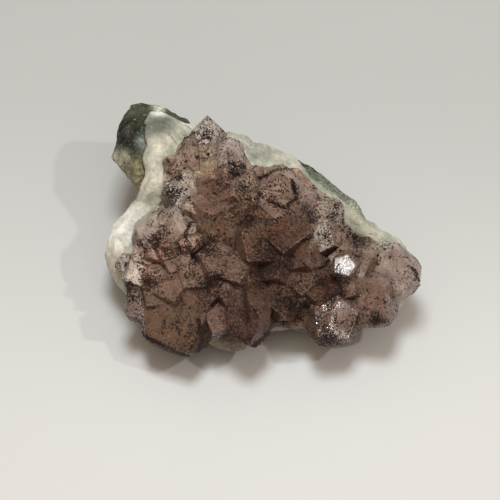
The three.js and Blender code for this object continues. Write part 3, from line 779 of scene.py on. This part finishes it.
def scattered(points, faces, count, seed):
    """Random places on the front of the crystals, with their normals and the random numbers to go on with.

    A triangle's chance is its area, times how far it faces outward, times a patchy cloud of 3.6 mm
    plus 3 times the darkness there. Triangles behind LOWEST_GRAIN_MM get none.
    """
    chance = np.random.default_rng(seed)
    normals = face_normals(points, faces)
    size = np.linalg.norm(normals, axis=1)
    seen = np.clip(unit(normals) @ OUT, 0, 1)
    middles = points[faces].mean(axis=1)
    middle = to_face(middles)
    patchy = np.clip(0.5 + 2.4 * cloud(middles, 0.0036, 3), 0.05, 3)
    weight = size * seen * np.maximum(patchy + 3.0 * darkness(middle), 0.02)
    weight[middle[:, 2] < LOWEST_GRAIN_MM] = 0
    pick = chance.choice(len(faces), count, p=weight / weight.sum())
    mix = chance.dirichlet((1, 1, 1), count)
    spots = np.sum(points[faces[pick]] * mix[:, :, None], axis=1)
    return spots, unit(normals[pick]), chance


def spindles(middles, ways, normals, lengths, widths):
    """Four-sided grains: each has two tips along its way and four corners round its middle."""
    side = unit(np.cross(ways, normals))
    other = np.cross(side, ways)
    tip = ways * lengths[:, None]
    side = side * widths[:, None]
    other = other * widths[:, None]
    corners = [-tip, side, other, -side, -other, tip]
    points = np.stack([middles + corner for corner in corners], axis=1).reshape(-1, 3)
    one = np.array([[0, 2, 1], [0, 3, 2], [0, 4, 3], [0, 1, 4], [5, 1, 2], [5, 2, 3], [5, 3, 4], [5, 4, 1]])
    faces = (one[None] + (np.arange(len(middles)) * len(corners))[:, None, None]).reshape(-1, 3)
    return points, faces


# Needles lie nearly flat on the faces, and two fifths of all the grains lie up to 1.3 mm below them
spots, outward, chance = scattered(points, faces, GRAINS, seed=11)
way = unit(np.cross(outward, chance.normal(size=(GRAINS, 3))) + outward * chance.normal(0, 0.25, (GRAINS, 1)))
needle = chance.random(GRAINS) < NEEDLE_SHARE
length = np.where(needle, chance.uniform(0.4, 1.2, GRAINS), chance.uniform(0.12, 0.34, GRAINS)) * MM
width = np.where(needle, chance.uniform(0.05, 0.11, GRAINS), chance.uniform(0.09, 0.27, GRAINS)) * MM
depth = np.where(chance.random(GRAINS) < SURFACE_SHARE, 0.0, chance.uniform(0.1, 1.3, GRAINS)) * MM
grain_points, grain_faces = spindles(spots - outward * depth[:, None], way, outward, length, width)
inclusions = make_piece("dark_inclusions", grain_points, grain_faces, inclusion_material(), smooth=False)
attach(inclusions, "root")


# Milky quartz
QUARTZ_TINTS = {
    "white patch": (-28.9, 33.6, 1.5, (247, 247, 233)),
    "grey patch": (-29.3, 29.6, 2.6, (103, 104, 95)),
    "under the block": (-27, 23.5, 3, (188, 182, 164)),
    "middle of the left column": (-29, 16, 4, (190, 184, 166)),
    "olive patch": (-24.8, 19.4, 1.6, (126, 122, 98)),
    "beside the top point": (-20, 28.6, 2, (184, 180, 167)),
    "left rim": (-38.5, 0, 5, (216, 212, 201)),
    "low left rim": (-40.5, -8, 3, (180, 168, 153)),
    "upper band left": (-6, 25, 3, (175, 171, 158)),
    "upper band middle": (0, 22, 3, (164, 163, 149)),
    "upper band right": (6, 20, 3, (180, 178, 162)),
    "inside the strip": (14, 14.5, 3, (142, 143, 128)),
    "pale under the strip": (23, 6.5, 1.6, (172, 166, 153)),
    "right": (27, 2.5, 3, (150, 147, 129)),
    "far right": (34, -0.5, 3, (178, 176, 160)),
    "right foot": (30.5, -4, 2, (147, 136, 121)),
    # Painted shade: the lower lip is tinted brown where it lies under the crystals in their shadow.
    "lower lip": (-8, -30.5, 4, (112, 98, 85)),
    "lower lip right": (4, -26, 2.5, (128, 112, 99)),
}
PLAIN_QUARTZ = (165, 162, 145)
QUARTZ_LIFT = np.array([1.16, 1.2, 1.23])


def rough_stone(name, edge, relief, seed):
    """A solid's mesh cut fine and moved along its normals by relief(points, seed), never below the floor."""
    points, faces = welded(name)
    points, faces, _ = divide(points, faces, np.zeros(len(faces), int), even(edge))
    points = points + point_normals(points, faces) * relief(points, seed)[:, None]
    points[:, 2] = np.maximum(points[:, 2], 0)
    return points, faces


def quartz_relief(points, seed):
    """Grown outward by 0.1 mm and by lumps of 7, 3 and 1.3 mm that meet in sharp valleys."""
    lumps = creases(points, 0.007, seed) * 0.9 + creases(points, 0.003, seed + 1) * 0.5
    return (0.1 + lumps + creases(points, 0.0013, seed + 2) * 0.22) * MM


points, faces = rough_stone("quartz_matrix", 0.0010, quartz_relief, seed=21)
matrix = make_piece("milky_quartz", points, faces, quartz_material())
shown = face_tints(to_face(points), QUARTZ_TINTS, PLAIN_QUARTZ, share=0.1)
keep_values(matrix, "hollow", hollowness(points, faces, 2))
keep_values(matrix, "tint", stone_paint(shown, QUARTZ_LIFT))
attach(matrix, "root")
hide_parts("quartz_matrix")


# Basalt
BASALT_TINTS = {
    "olive top": (-34, 33.5, 3, (66, 68, 56)),
    "black left": (-38, 27, 4.2, (26, 28, 24)),
    "blue band": (-33.2, 25.5, 2, (129, 138, 134)),
    "pale left": (-39.5, 21, 2.2, (183, 180, 159)),
    "olive foot": (-35, 17, 3.2, (121, 112, 89)),
    "brown foot": (-33.4, 12.5, 2, (108, 92, 70)),
    "pale rim": (-29.5, 34.6, 1.6, (228, 227, 212)),
    "dark rim": (-24.5, 32.6, 2.6, (62, 66, 58)),
    "strip top": (9, 20, 3, (140, 144, 128)),
    "strip dark top": (14.5, 16.5, 2.6, (100, 106, 94)),
    "strip middle": (19, 13, 3, (112, 116, 104)),
    "strip foot": (27, 6, 4, (150, 152, 138)),
}
PLAIN_BASALT = (80, 84, 73)
BASALT_LIFT = 1.35


def basalt_relief(points, seed):
    """Broken rock: 0.15 mm out, with swells of 9 and 4 mm, steps of 0.1 mm and grit of 1.8 mm.

    The steps are a noise of 6 mm, rounded to thirds.
    """
    swell = cloud(points, 0.009, seed) * 0.5 + cloud(points, 0.004, seed + 1) * 0.3
    steps = np.round(cloud(points, 0.006, seed + 2) * 3) / 3 * 0.3
    return (0.15 + swell + steps + cloud(points, 0.0018, seed + 3) * 0.3) * MM


points, faces = rough_stone("basalt_rind", 0.0009, basalt_relief, seed=31)
rind = make_piece("basalt", points, faces, basalt_material())
shown = face_tints(to_face(points), BASALT_TINTS, PLAIN_BASALT, share=0.2)
keep_values(rind, "hollow", hollowness(points, faces, 2))
keep_values(rind, "tint", stone_paint(shown, BASALT_LIFT))
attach(rind, "root")
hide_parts("basalt_rind")


# Floor, light and camera
FLOOR_REACH, FLOOR_LEVEL = 2.0, -0.00002
floor_points = np.array([[-1, -1, 0], [1, -1, 0], [1, 1, 0], [-1, 1, 0]]) * FLOOR_REACH
floor_points[:, 2] = FLOOR_LEVEL
floor_faces = np.array([[0, 1, 2], [0, 2, 3]])
floor = make_piece("floor", floor_points, floor_faces, floor_material(), smooth=False)


def area_light(name, spot, size, power, colour, mirrored=True):
    """A soft square light that faces the middle of the crystals, and is mirrored in them only if told."""
    light = bpy.data.lights.new(name, "AREA")
    light.size, light.energy, light.color = size, power, colour
    lamp = bpy.data.objects.new(name, light)
    lamp.location = spot
    lamp.visible_glossy = lamp.visible_transmission = mirrored
    lamp.rotation_euler = (Vector(FACE_MIDDLE) - Vector(spot)).to_track_quat("-Z", "Y").to_euler()
    bpy.context.scene.collection.objects.link(lamp)


def lamp_spot(azimuth, elevation, distance):
    """The place at that distance from the middle of the crystals: azimuth 0 is behind, 90 to the right."""
    turn, rise = math.radians(azimuth), math.radians(elevation)
    way = np.array([math.sin(turn) * math.cos(rise), math.cos(turn) * math.cos(rise), math.sin(rise)])
    return Vector(FACE_MIDDLE + way * distance)


area_light("window", lamp_spot(200, 85.5, 0.72), 0.2, 4.0, (0.905, 0.965, 1.0), mirrored=False)
area_light("room", lamp_spot(178, 62, 0.8), 0.6, 1.2, (1.0, 0.86, 0.74), mirrored=False)
area_light("small lamp", lamp_spot(117, 53, 0.8), 0.03, 1.2, (1.0, 0.98, 0.95))

world = bpy.data.worlds.new("soft room")
bpy.context.scene.world = world
world.use_nodes = True
background = world.node_tree.nodes["Background"]
background.inputs["Color"].default_value = (0.87, 0.70, 0.56, 1)
background.inputs["Strength"].default_value = 0.40

CAMERA_RISE = math.radians(50)
CAMERA_DISTANCE = 0.6
VIEW_WIDTH = 0.135
camera = bpy.data.objects.new("camera", bpy.data.cameras.new("camera"))
bpy.context.scene.collection.objects.link(camera)
toward = Vector((0.0, -math.cos(CAMERA_RISE), math.sin(CAMERA_RISE)))
camera.location = Vector(FACE_MIDDLE) + toward * CAMERA_DISTANCE
camera.rotation_euler = (-toward).to_track_quat("-Z", "Y").to_euler()
camera.data.angle = 2 * math.atan(VIEW_WIDTH / 2 / CAMERA_DISTANCE)
camera.data.shift_x = -0.024
camera.data.shift_y = -0.036
bpy.context.scene.camera = camera
bpy.context.scene.view_settings.view_transform = "Standard"
